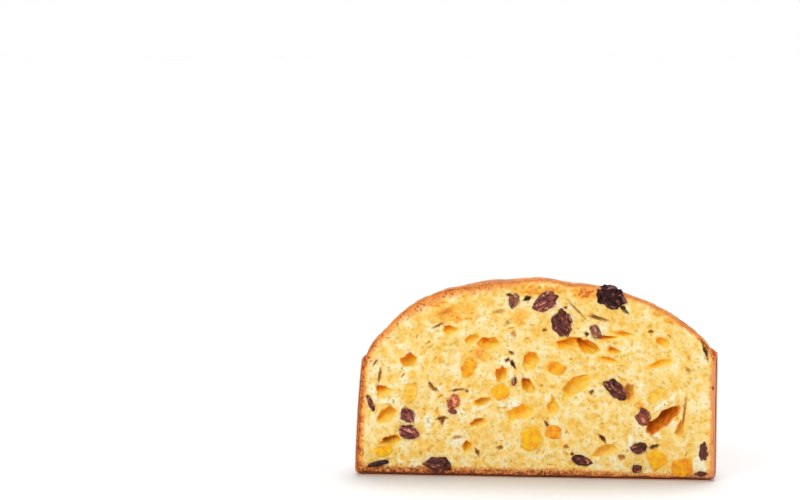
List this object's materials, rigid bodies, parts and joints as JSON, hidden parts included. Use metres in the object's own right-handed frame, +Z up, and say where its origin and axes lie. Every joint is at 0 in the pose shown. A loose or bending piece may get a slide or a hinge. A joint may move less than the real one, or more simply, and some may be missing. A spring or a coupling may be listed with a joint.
{
  "type": "panettone half",
  "caption": "Cut half of a low domed festive sweet bread with raisins and candied orange, standing in its brown paper baking case.",
  "frame": {"origin": "under the middle of the half loaf, on the surface it stands on", "axes": "+X to the right along the cut face, -Y out of the cut face, +Z up"},
  "size_m": [0.1909, 0.0959, 0.1055],
  "materials": {
    "bread": "matte",
    "case": "matte",
    "raisin": "satin",
    "candied": "gloss"
  },
  "bodies": {
    "root": {"bread": "bread", "paper_case": "case", "raisin_01": "raisin", "raisin_02": "raisin", "raisin_03": "raisin", "raisin_04": "raisin", "raisin_05": "raisin", "raisin_06": "raisin", "raisin_07": "raisin", "raisin_08": "raisin", "raisin_09": "raisin", "raisin_10": "raisin", "raisin_11": "raisin", "raisin_12": "raisin", "raisin_13": "raisin", "raisin_14": "raisin", "raisin_15": "raisin", "raisin_16": "raisin", "raisin_17": "raisin", "raisin_18": "raisin", "raisin_19": "raisin", "raisin_20": "raisin", "raisin_top_1": "raisin", "raisin_top_2": "raisin", "raisin_top_3": "raisin", "raisin_top_4": "raisin", "candied_orange_01": "candied", "candied_orange_02": "candied", "candied_orange_03": "candied", "candied_orange_04": "candied", "candied_orange_05": "candied", "candied_orange_06": "candied", "candied_orange_07": "candied", "candied_orange_08": "candied", "candied_orange_09": "candied", "candied_orange_10": "candied"}
  },
  "joints": []
}
